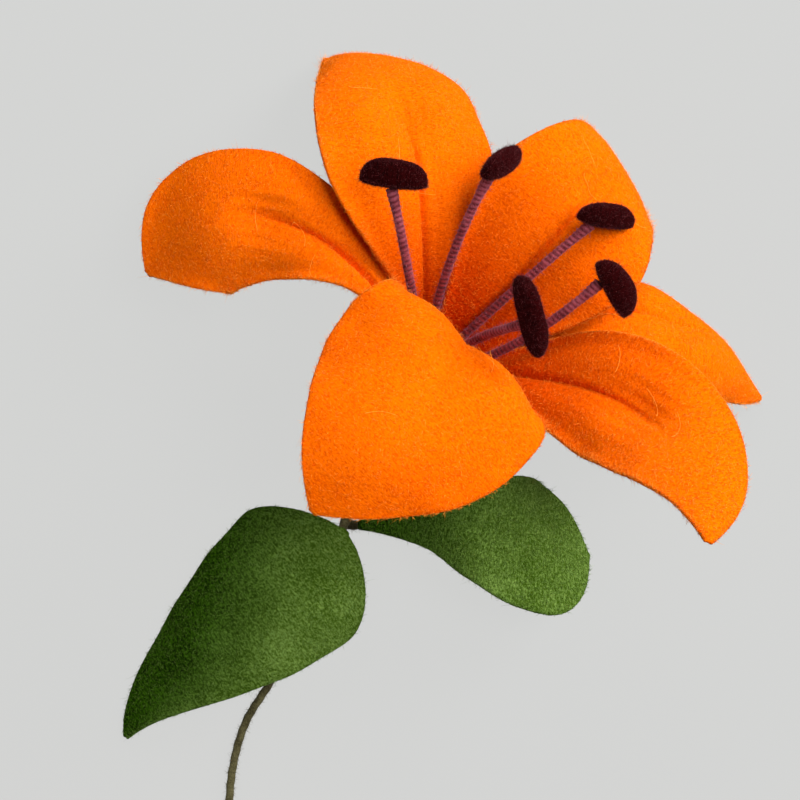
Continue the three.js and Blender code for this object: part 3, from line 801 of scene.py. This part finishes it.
class Finish:
    """A material of one Principled shader and what feeds it."""

    def __init__(self, name, **uniform):
        self.material = bpy.data.materials.new(name)
        self.material.use_nodes = True
        self.tree = self.material.node_tree
        self.tree.nodes.clear()
        self.shader = self.tree.nodes.new("ShaderNodeBsdfPrincipled")
        output = self.tree.nodes.new("ShaderNodeOutputMaterial")
        self.tree.links.new(self.shader.outputs[0], output.inputs["Surface"])
        self.done(**uniform)

    def feed(self, socket, value):
        if isinstance(value, Value):
            self.tree.links.new(value.socket, socket)
        elif socket.type == "RGBA":
            socket.default_value = (*value[:3], 1)
        else:
            socket.default_value = value

    def node(self, kind, settings, sockets, output=0):
        node = self.tree.nodes.new(kind)
        for key, value in settings.items():
            setattr(node, key, value)
        for key, value in sockets.items():
            self.feed(node.inputs[key], value)
        return Value(self, node.outputs[output])

    def math(self, operation, *values):
        return self.node("ShaderNodeMath", {"operation": operation}, dict(enumerate(values)))

    def mix(self, share, first, second):
        return self.node("ShaderNodeMix", {"data_type": "RGBA"}, {0: share, 6: first, 7: second}, 2)

    def spread(self, value, low, high):
        """value from low to high as 0 to 1, smooth and clamped."""
        sockets = {"Value": value, "From Min": low, "From Max": high}
        return self.node("ShaderNodeMapRange", {"interpolation_type": "SMOOTHSTEP"}, sockets)

    def place(self):
        """Object coordinates, in m."""
        return self.node("ShaderNodeTexCoord", {}, {}, "Object")

    def cloth(self):
        """The piece's own UV map, in cm."""
        return self.node("ShaderNodeUVMap", {"uv_map": "UVMap"}, {})

    def attribute(self, name):
        return self.node("ShaderNodeAttribute", {"attribute_name": name}, {}, "Fac")

    def noise(self, vector, scale, detail=2.0, roughness=0.5, distortion=0.0):
        sockets = {
            "Vector": vector, "Scale": scale, "Detail": detail, "Roughness": roughness, "Distortion": distortion,
        }
        return self.node("ShaderNodeTexNoise", {}, sockets)

    def streaks(self, vector, angle, scale, stretch):
        """Noise drawn out along one direction, as combed fibres are."""
        sockets = {"Vector": vector, "Rotation": (0, 0, np.radians(angle)), "Scale": (stretch, 1, 1)}
        turned = self.node("ShaderNodeMapping", {}, sockets)
        return self.noise(turned, scale, 3.0, 0.6, 0.4)

    def bump(self, height, distance):
        return self.node("ShaderNodeBump", {}, {"Height": height, "Distance": distance, "Strength": 1.0})

    def done(self, **inputs):
        """The material, with what feeds these inputs of its shader."""
        for key, value in inputs.items():
            self.feed(self.shader.inputs[key.replace("_", " ").title().replace("Ior", "IOR")], value)
        return self.material


def woolly(name, sheen, sheen_weight, roughness, level):
    """A finish with the soft sheen of wool."""
    return Finish(
        name, specular_ior_level=level, roughness=roughness, sheen_weight=sheen_weight, sheen_roughness=0.5,
        sheen_tint=sheen,
    )


# The ways that felt's fibres run: their angle in degrees, their scale and how far they are drawn out.
FELT_WAYS = ((28, 42.0, 0.16), (-37, 38.0, 0.14), (84, 46.0, 0.18))


def felt(name, deep, body, lit, sheen, depth=0.00022, patchy=0.3, tones=(0.74, 0.99), painted_shade=()):
    """Wool felt: matted fibres in every direction over a mottled ground. Its painted shade is a deep and a lit colour.
    """
    finish = woolly(name, sheen, 0.12, 1.0, 0.0)
    place, cloth = finish.place(), finish.cloth()
    cloud = 0.5 + (finish.noise(place, 70.0, 3.0, 0.6) - 0.5) * patchy
    mottle = finish.noise(place, 1700.0, 4.0, 0.7)
    first, second, third = (finish.streaks(cloth, *way) for way in FELT_WAYS)
    fibres = finish.math("MAXIMUM", finish.math("MAXIMUM", first, second), third)
    tone = finish.spread(mottle * 0.7 + fibres * 0.75 + cloud * 0.25, *tones)
    colour = finish.mix(tone, finish.mix(cloud, deep, body), finish.mix(cloud, body, lit))
    # Painted shade, by the piece's attribute: deep in a petal's throat and where a leaf is out of the light.
    if painted_shade:
        colour = finish.mix(finish.attribute("painted_shade"), colour, finish.mix(tone, *painted_shade))
    return finish.done(base_color=colour, normal=finish.bump(mottle * 0.5 + fibres, depth))


def nap_finish(name, deep, lit, sheen):
    """Loose fibres, each with its own tone."""
    finish = woolly(name, sheen, 0.2, 0.8, 0.2)
    return finish.done(base_color=finish.mix(finish.attribute("shade"), deep, lit))


def yarn_finish(name, dark, mid, light, twist, sheen, ply=0.0, root=None):
    """Loosely spun wool: strands run round the yarn at a slant and its dye comes and goes.

    ply sets its strands apart, and root is the colour of its painted throat shade where it starts.
    """
    finish = woolly(name, sheen, 0.3, 0.9, 0.2)
    place, cloth = finish.place(), finish.cloth()
    dye = finish.noise(place, 330.0, 3.0, 0.6)
    strands = finish.streaks(cloth, 90 - twist, 30.0, 0.12)
    fluff = finish.noise(place, 1500.0, 3.0, 0.7)
    apart = (finish.attribute("ply") - 0.5) * ply
    tone = finish.spread(dye * 0.7 + strands * 0.6 + fluff * 0.2 + apart, 0.5, 1.0)
    colour = finish.mix(tone, finish.mix(dye, dark, mid), finish.mix(dye, mid, light))
    # Painted throat shade towards the yarn's root.
    if root:
        colour = finish.mix(finish.attribute("painted_shade"), colour, finish.mix(tone, dark, root))
    return finish.done(base_color=colour, normal=finish.bump(strands + fluff * 0.4, 0.0002))


def steel(name):
    """Drawn steel wire, faintly streaked along its length and dull in patches."""
    finish = Finish(name, metallic=1.0)
    place = finish.place()
    drawn_out = finish.node("ShaderNodeMapping", {}, {"Vector": place, "Scale": (1, 0.06, 1)})
    drawn = finish.noise(drawn_out, 9000.0, 2.0)
    dull = finish.noise(place, 500.0, 3.0)
    colour = finish.mix(dull, (0.34, 0.335, 0.33), (0.6, 0.6, 0.59))
    return finish.done(base_color=colour, roughness=0.25 + dull * 0.3, normal=finish.bump(drawn, 0.00003))


# --- settings


def tint(name, description, default):
    """A colour."""
    return FloatVectorProperty(
        name=name, description=description, default=default, size=3, min=0.0, max=1.0, subtype="COLOR"
    )


def span(name, description, default, high):
    """A length in m."""
    return FloatProperty(
        name=name, description=description, default=default, min=0.0, max=high, precision=5,
        subtype="DISTANCE", unit="LENGTH",
    )


def number(name, description, default):
    """A count of fibres."""
    return IntProperty(name=name, description=description, default=default, min=16)


class LilyPetalSettings(bpy.types.PropertyGroup):
    """The petals' felt."""

    thickness: span("Felt thickness", "Thickness of the petals' felt", 0.0011, 0.003)
    nap_length: span("Nap length", "Length of the loose fibres", 0.0012, 0.004)
    nap_width: span("Nap width", "Thickness of the loose fibres", 0.00008, 0.0003)
    lying: number("Lying fibres", "Loose fibres on a petal's faces", 8200)
    standing: number("Edge fibres", "Loose fibres round a petal's edge", 3800)
    # The throat and claw colours paint the shade deep in the throat.
    throat: tint("Throat colour", "Colour between the fibres, deep in the throat", (0.28, 0.004, 0.0002))
    claw: tint("Claw colour", "Colour of the fibres, deep in the throat", (0.54, 0.02, 0.0003))
    deep: tint("Deep colour", "Colour between the fibres", (0.58, 0.038, 0.0003))
    body: tint("Body colour", "Main colour of the felt", (0.88, 0.11, 0.0004))
    lit: tint("Fibre colour", "Colour of the upper fibres", (1.0, 0.2, 0.0008))


class LilyLeafSettings(bpy.types.PropertyGroup):
    """The leaves' felt."""

    thickness: span("Felt thickness", "Thickness of the leaves' felt", 0.001, 0.003)
    nap_length: span("Nap length", "Length of the loose fibres", 0.0011, 0.004)
    nap_width: span("Nap width", "Thickness of the loose fibres", 0.00009, 0.0003)
    lying: number("Lying fibres", "Loose fibres on a leaf's faces", 9000)
    standing: number("Edge fibres", "Loose fibres round a leaf's edge", 1800)
    # The next two colours paint a leaf's shade where it is out of the light.
    painted_shade_ground: tint("Dim deep colour", "Colour between the fibres in the dark dye", (0.001, 0.006, 0.0001))
    painted_shade_fibres: tint("Dim fibre colour", "Colour of the fibres in the dark dye", (0.036, 0.105, 0.003))
    deep: tint("Deep colour", "Colour between the fibres", (0.016, 0.04, 0.001))
    body: tint("Body colour", "Main colour of the felt", (0.055, 0.11, 0.006))
    lit: tint("Fibre colour", "Colour of the upper fibres", (0.27, 0.41, 0.1))


class LilyStamenSettings(bpy.types.PropertyGroup):
    """The stamens' wool."""

    velvet_length: span("Velvet length", "Length of the anthers' pile", 0.0006, 0.003)
    fluff_length: span("Fluff length", "Length of the filaments' loose fibres", 0.0011, 0.004)
    anther_deep: tint("Anther shade", "Colour between the fibres of an anther", (0.002, 0.0002, 0.0002))
    anther_body: tint("Anther colour", "Main colour of the anthers", (0.008, 0.0006, 0.0006))
    anther_lit: tint("Anther fibre", "Colour of the anthers' upper fibres", (0.036, 0.0024, 0.003))
    filament_dark: tint("Filament dark", "Darkest dye of the filaments", (0.06, 0.004, 0.006))
    filament_body: tint("Filament colour", "Main dye of the filaments", (0.2, 0.02, 0.03))
    filament_light: tint("Filament light", "Palest dye of the filaments", (0.5, 0.14, 0.19))
    # Painted throat shadow, with its orange bounce light, towards a filament's root.
    filament_throat_shade: tint("Filament root", "Dye of the filaments in the throat", (0.26, 0.022, 0.02))


class LilyStemSettings(bpy.types.PropertyGroup):
    """The wool of the stem, the cup and the leaf stalks."""

    fluff_length: span("Fluff length", "Length of the loose fibres", 0.001, 0.004)
    dark: tint("Dark", "Darkest dye of the wool", (0.018, 0.014, 0.004))
    body: tint("Colour", "Main dye of the wool", (0.06, 0.05, 0.016))
    light: tint("Light", "Palest dye of the wool", (0.15, 0.135, 0.06))


class LilyStageSettings(bpy.types.PropertyGroup):
    """The floor and the lights."""

    floor: tint("Floor", "Colour of the floor", (0.685, 0.69, 0.68))
    key: FloatProperty(
        name="Key light", description="Power of the key light, which the others have a share of", default=11.5,
        min=0, unit="POWER",
    )
    sky: FloatProperty(name="Sky light", description="Strength of the light from all round", default=0.08, min=0)


class LilySettings(bpy.types.PropertyGroup):
    """All settings of the lily."""

    petals: PointerProperty(type=LilyPetalSettings)
    leaves: PointerProperty(type=LilyLeafSettings)
    stamens: PointerProperty(type=LilyStamenSettings)
    stem: PointerProperty(type=LilyStemSettings)
    stage: PointerProperty(type=LilyStageSettings)


# --- operators


def stem_wool(context):
    """The finish of the stem's wool and that of its loose fibres, each made once."""
    look = context.scene.lily.stem
    straw = (0.6, 0.55, 0.35)
    made = bpy.data.materials
    wool = made.get("wound_wool") or yarn_finish("wound_wool", look.dark, look.body, look.light, 62, straw)
    return wool, made.get("wound_fluff") or nap_finish("wound_fluff", look.body, look.light, straw)


def add_blade(name, blade, look, slot, ground, loose):
    """Adds the felt of a petal or a leaf, in place of its node, and its nap."""
    add_piece(blade.mesh(name + "_felt"), ground, slot, name)
    nap = blade.nap(name + "_nap", look.lying, look.standing, look.nap_length / MM, look.nap_width / MM)
    add_piece(nap, loose, slot)


def add_yarn(name, yarn, fluff_length, slot, wool, loose):
    """Adds the wool of a yarn, in place of its node, and its loose fibres."""
    add_piece(yarn.mesh(name + "_wool"), wool, slot, name)
    add_piece(yarn.nap(name + "_fluff", fluff_length), loose, slot)


class LILY_OT_petals(bpy.types.Operator):
    """Make the six felt petals and their nap."""

    bl_idname = "lily.petals"
    bl_label = "Petals"

    def execute(self, context):
        look = context.scene.lily.petals
        sheen, tips = (1.0, 0.45, 0.04), (1.0, 0.38, 0.035)
        # The throat and claw colours are painted shade.
        ground = felt("orange_felt", look.deep, look.body, look.lit, sheen, painted_shade=(look.throat, look.claw))
        loose = nap_finish("orange_nap", look.body, tips, sheen)
        for seed, (name, cut) in enumerate(PETALS.items()):
            outward = outward_at(cut.azimuth)
            start = THROAT + outward * ROOT_RADIUS[cut.ring]
            petal = Petal(cut, start, BLOOM_AXIS, outward, look.thickness / MM, 100 + seed)
            add_blade(name, petal, look, "petal_felt", ground, loose)
        return {"FINISHED"}


class LILY_OT_leaves(bpy.types.Operator):
    """Make the two felt leaves, their nap and their stalks."""

    bl_idname = "lily.leaves"
    bl_label = "Leaves"

    def execute(self, context):
        look = context.scene.lily.leaves
        sheen, tips = (0.4, 0.6, 0.1), (0.2, 0.34, 0.07)
        # The colours of the leaves' painted shade.
        painted_shade = look.painted_shade_ground, look.painted_shade_fibres
        ground = felt("green_felt", look.deep, look.body, look.lit, sheen, 0.0003, 0.7, (0.8, 1.06), painted_shade)
        loose = nap_finish("green_nap", look.body, tips, sheen)
        wool = stem_wool(context)
        for seed, (side, cut) in enumerate(LEAVES.items()):
            heading = np.radians(cut.heading)
            outward = np.array([np.cos(heading), np.sin(heading), 0.0])
            leaf = Leaf(cut, cut.start, UP, outward, look.thickness / MM, 200 + seed)
            add_blade("leaf_" + side, leaf, look, "leaf_felt", ground, loose)
            stalk = Stalk(even_path(cut.petiole, 0.4), 220 + seed)
            add_yarn("petiole_" + side, stalk, stalk.FLUFF_LENGTH, "stem_wool", *wool)
        return {"FINISHED"}


class LILY_OT_stamens(bpy.types.Operator):
    """Make the five filaments of twisted wool and their velvety anthers."""

    bl_idname = "lily.stamens"
    bl_label = "Stamens"

    def execute(self, context):
        look = context.scene.lily.stamens
        ruby, tips = (0.5, 0.09, 0.1), (0.2, 0.03, 0.035)
        velvet = felt("velvet", look.anther_deep, look.anther_body, look.anther_lit, ruby, 0.0003)
        pile = nap_finish("velvet_pile", look.anther_deep, tips, ruby)
        pink = (0.8, 0.4, 0.55)
        dyes = look.filament_dark, look.filament_body, look.filament_light
        # The last colour is the filaments' painted throat shadow.
        wool = yarn_finish("dyed_yarn", *dyes, 40, pink, 0.3, look.filament_throat_shade)
        fluff = nap_finish("dyed_fluff", look.filament_dark, look.filament_light, pink)
        for seed, (name, stamen) in enumerate(STAMENS.items()):
            lean = np.radians(stamen.lean)
            aim = BLOOM_AXIS * np.cos(lean) + outward_at(stamen.azimuth) * np.sin(lean)
            root = THROAT + BLOOM_AXIS * FILAMENT.root_height + outward_at(stamen.ring) * FILAMENT.ring_radius
            tip = root + aim * FILAMENT.length
            bend = (root + tip) / 2 + 2 * np.array(stamen.bow)
            f = np.linspace(0, 1, 120)[:, None]
            yarn = Filament(root * (1 - f) ** 2 + bend * 2 * f * (1 - f) + tip * f**2, 300 + seed)
            add_yarn("filament_" + name, yarn, look.fluff_length / MM, "filament_wool", wool, fluff)

            along = unit(stamen.along)
            end = unit(tip - bend)
            dome = unit(end - along * end.dot(along))
            seat = tip + dome * GAP - along * stamen.joined_at
            basis = np.array([along, np.cross(dome, along), dome])
            piece = "anther_" + name
            pad = Anther(stamen.pad, seat, basis, 400 + seed)
            add_piece(pad.mesh(piece + "_felt"), velvet, "anther_felt", piece)
            add_piece(pad.nap(piece + "_pile", look.velvet_length / MM), pile, "anther_felt")
        return {"FINISHED"}


class LILY_OT_stem(bpy.types.Operator):
    """Make the wool wound on the stem."""

    bl_idname = "lily.stem"
    bl_label = "Stem"

    def execute(self, context):
        cup_foot = THROAT + BLOOM_AXIS * (CUP_FOOT - GAP)
        yarn = Stem(even_path([cup_foot, *STEM_ROUTE], 0.5), 500)
        fluff_length = context.scene.lily.stem.fluff_length / MM
        add_yarn("stem_wrap", yarn, fluff_length, "stem_wool", *stem_wool(context))
        return {"FINISHED"}


class LILY_OT_cup(bpy.types.Operator):
    """Make the wool cup round the petals' roots and the felt core in the throat."""

    bl_idname = "lily.cup"
    bl_label = "Cup and core"

    # Profiles are [radius, height over the throat]. The cup's closes on itself.
    CUP = [
        [0.7, CUP_FOOT], [1.1, -14.05], [1.4, -13.7], [3.1, -10.6], [4.7, -7.4], [6.5, -4.1], [7.65, -2.0],
        [7.72, -1.3], [7.2, -0.75], [5.4, -0.75], [3.75, -0.9], [3.75, -7.35], [0.7, -7.35], [0.7, CUP_FOOT],
    ]
    CORE = [[0, -7], [3.2, -7], [3.4, -6.6], [3.4, 0.2], [3.0, 0.85], [1.8, 1.15], [0, 1.2]]

    def execute(self, context):
        wool, _ = stem_wool(context)
        add_piece(turned("bloom_cup_wool", self.CUP), wool, "stem_wool", "bloom_cup")
        orange = bpy.data.materials["orange_felt"]
        add_piece(turned("bloom_core_felt", self.CORE), orange, "petal_felt", "bloom_core")
        return {"FINISHED"}


class LILY_OT_wires(bpy.types.Operator):
    """Give the wires in the stem and the filaments their steel."""

    bl_idname = "lily.wires"
    bl_label = "Wires"

    def execute(self, context):
        metal = steel("drawn_steel")
        for name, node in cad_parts.items():
            if "wire" in name:
                for slot in node.material_slots:
                    slot.material = metal
        return {"FINISHED"}


class LILY_OT_stage(bpy.types.Operator):
    """Set up the pale floor, the soft lights and the camera."""

    bl_idname = "lily.stage"
    bl_label = "Stage"

    FLOOR_HALF, FLOOR_DROP, FLOOR_GLOW = 12, 0.0003, 0.9
    # Each light's place in m and its share of the key light's power.
    LIGHTS = {
        "key": ((0.74, 0.59, 0.45), 1),
        "high": ((0.41, 0.18, 0.94), 0.66),
        "side": ((0.0, 0.84, 0.67), 0.35),
        "fill": ((-0.58, -0.51, 0.6), 0.16),
    }

    def execute(self, context):
        look = context.scene.lily.stage
        scene = context.scene
        bm = bmesh.new()
        bmesh.ops.create_grid(bm, x_segments=1, y_segments=1, size=self.FLOOR_HALF)
        bmesh.ops.translate(bm, verts=bm.verts[:], vec=(0, 0, -self.FLOOR_DROP))
        mesh = mesh_of(bm, "floor")
        paper = Finish("floor_paper", specular_ior_level=0.0, roughness=1.0, emission_strength=self.FLOOR_GLOW)
        grain = paper.noise(paper.place(), 30.0)
        tone = paper.mix(grain * 0.05, look.floor, (0.7, 0.71, 0.69))
        mesh.materials.append(paper.done(base_color=(0.03, 0.03, 0.03), emission_color=tone))
        floor = bpy.data.objects.new("floor", mesh)
        floor.visible_diffuse = False
        scene.collection.objects.link(floor)
        for name, (place, share) in self.LIGHTS.items():
            soft_light(name, place, look.key * share)

        world = bpy.data.worlds.new("studio")
        world.use_nodes = True
        sky = world.node_tree.nodes["Background"]
        sky.inputs["Color"].default_value = (1.0, 0.99, 0.97, 1)
        sky.inputs["Strength"].default_value = look.sky
        scene.world = world

        lens = bpy.data.cameras.new("camera")
        lens.lens = CAMERA_LENS
        lens.sensor_width = CAMERA_SENSOR
        lens.clip_start = 0.01
        camera = bpy.data.objects.new("camera", lens)
        camera.location = [value * MM for value in CAMERA_AT]
        scene.collection.objects.link(camera)
        scene.camera = camera
        scene.view_settings.view_transform = "Standard"
        return {"FINISHED"}


LIGHT_SIZE, LIT_SPOT = 0.5, np.array([0.0, 0.05, 0.02])


def soft_light(name, place, power):
    """A square light that faces the bloom."""
    light = bpy.data.lights.new(name, "AREA")
    light.shape = "SQUARE"
    light.size = LIGHT_SIZE
    light.energy = power
    lamp = bpy.data.objects.new(name, light)
    lamp.location = place
    lamp.rotation_euler = Vector(LIT_SPOT - np.array(place)).to_track_quat("-Z", "Y").to_euler()
    bpy.context.scene.collection.objects.link(lamp)


class LILY_PT_panel(bpy.types.Panel):
    """The lily's pieces and their settings."""

    bl_label = "Felt Tiger Lily"
    bl_idname = "LILY_PT_panel"
    bl_space_type = "VIEW_3D"
    bl_region_type = "UI"
    bl_category = "Lily"

    def draw(self, context):
        settings = context.scene.lily
        for operator, group in PANEL_ROWS:
            box = self.layout.box()
            box.operator(operator.bl_idname)
            if group:
                for key in getattr(settings, group).__annotations__:
                    box.prop(getattr(settings, group), key)


PANEL_ROWS = (
    (LILY_OT_stage, "stage"),
    (LILY_OT_petals, "petals"),
    (LILY_OT_leaves, "leaves"),
    (LILY_OT_stamens, "stamens"),
    (LILY_OT_stem, "stem"),
    (LILY_OT_cup, None),
    (LILY_OT_wires, None),
)
SETTINGS = (LilyPetalSettings, LilyLeafSettings, LilyStamenSettings, LilyStemSettings, LilyStageSettings, LilySettings)
CLASSES = (*SETTINGS, *(operator for operator, _ in PANEL_ROWS), LILY_PT_panel)


def register():
    for cls in CLASSES:
        bpy.utils.register_class(cls)
    bpy.types.Scene.lily = PointerProperty(type=LilySettings)


def unregister():
    del bpy.types.Scene.lily
    for cls in reversed(CLASSES):
        bpy.utils.unregister_class(cls)


def main():
    register()
    bpy.ops.lily.stage()
    bpy.ops.lily.petals()
    bpy.ops.lily.leaves()
    bpy.ops.lily.stamens()
    bpy.ops.lily.stem()
    bpy.ops.lily.cup()
    bpy.ops.lily.wires()


if __name__ == "__main__":
    main()
